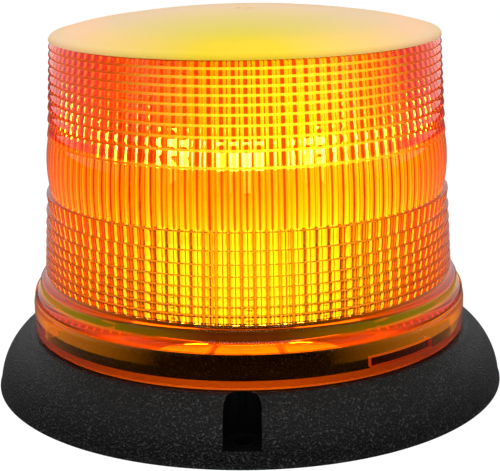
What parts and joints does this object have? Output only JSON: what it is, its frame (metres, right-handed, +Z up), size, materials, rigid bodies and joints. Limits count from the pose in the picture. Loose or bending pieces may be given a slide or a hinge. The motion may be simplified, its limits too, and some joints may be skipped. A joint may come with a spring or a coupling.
{
  "type": "led warning beacon",
  "caption": "Round LED warning beacon: an amber ringed and fluted lens that locks by a bayonet onto a flared black base with sunk bolt pockets.",
  "frame": {"origin": "centre of the underside of the base, on the mounting surface", "axes": "+Z up through the centre of the lens, -Y towards the bolt pocket at the front, +X to the right of it"},
  "size_m": [0.165, 0.165, 0.1198],
  "materials": {
    "amber_polycarbonate": "clear moulded, gloss, top lightly frosted",
    "housing_black": "fine spark-eroded texture",
    "cover_black": "fine matt",
    "rubber_black": "matt",
    "gasket_foam": "closed-cell foam",
    "seal_silicone": "matt",
    "spreader_black": "black anodised",
    "tower_aluminium": "extruded",
    "board_white": "white solder mask",
    "board_green": "green solder mask",
    "led_ceramic": "ceramic",
    "led_silicone": "clear silicone",
    "connector_white": "moulded",
    "component_black": "moulded",
    "capacitor_sleeve": "sleeved can",
    "terminal_green": "moulded",
    "lead_insulation": "insulated lead",
    "screw_steel": "zinc plated"
  },
  "bodies": {
    "base": {"base_housing": "housing_black", "bottom_cover": "cover_black", "cable_grommet": "rubber_black", "cover_screws": "screw_steel", "driver_board": "board_green", "driver_capacitors": "capacitor_sleeve", "driver_controller": "component_black", "driver_header": "component_black", "driver_inductor": "component_black", "driver_screws": "screw_steel", "driver_switches": "component_black", "heat_spreader": "spreader_black", "led_board_screws": "screw_steel", "led_boards": "board_white", "led_packages": "led_ceramic", "led_tower": "tower_aluminium", "led_windows": "led_silicone", "link_board": "board_green", "link_board_screws": "screw_steel", "link_chip": "component_black", "link_connectors": "connector_white", "mounting_gasket": "gasket_foam", "spreader_screws": "screw_steel", "terminal_block": "terminal_green", "tower_leads": "lead_insulation", "tower_screws": "screw_steel"},
    "seal": {"lens_seal": "seal_silicone"},
    "lens": {"lens": "amber_polycarbonate"}
  },
  "joints": [
    {"name": "lens_lift", "type": "slide", "parent": "base", "child": "seal", "axis": [0, 0, 1], "range_m": [0, 0.09]},
    {"name": "lens_twist", "type": "hinge", "parent": "seal", "child": "lens", "pos_m": [0, 0, 0.0185], "axis": [0, 0, 1], "range_deg": [0, 20]}
  ]
}
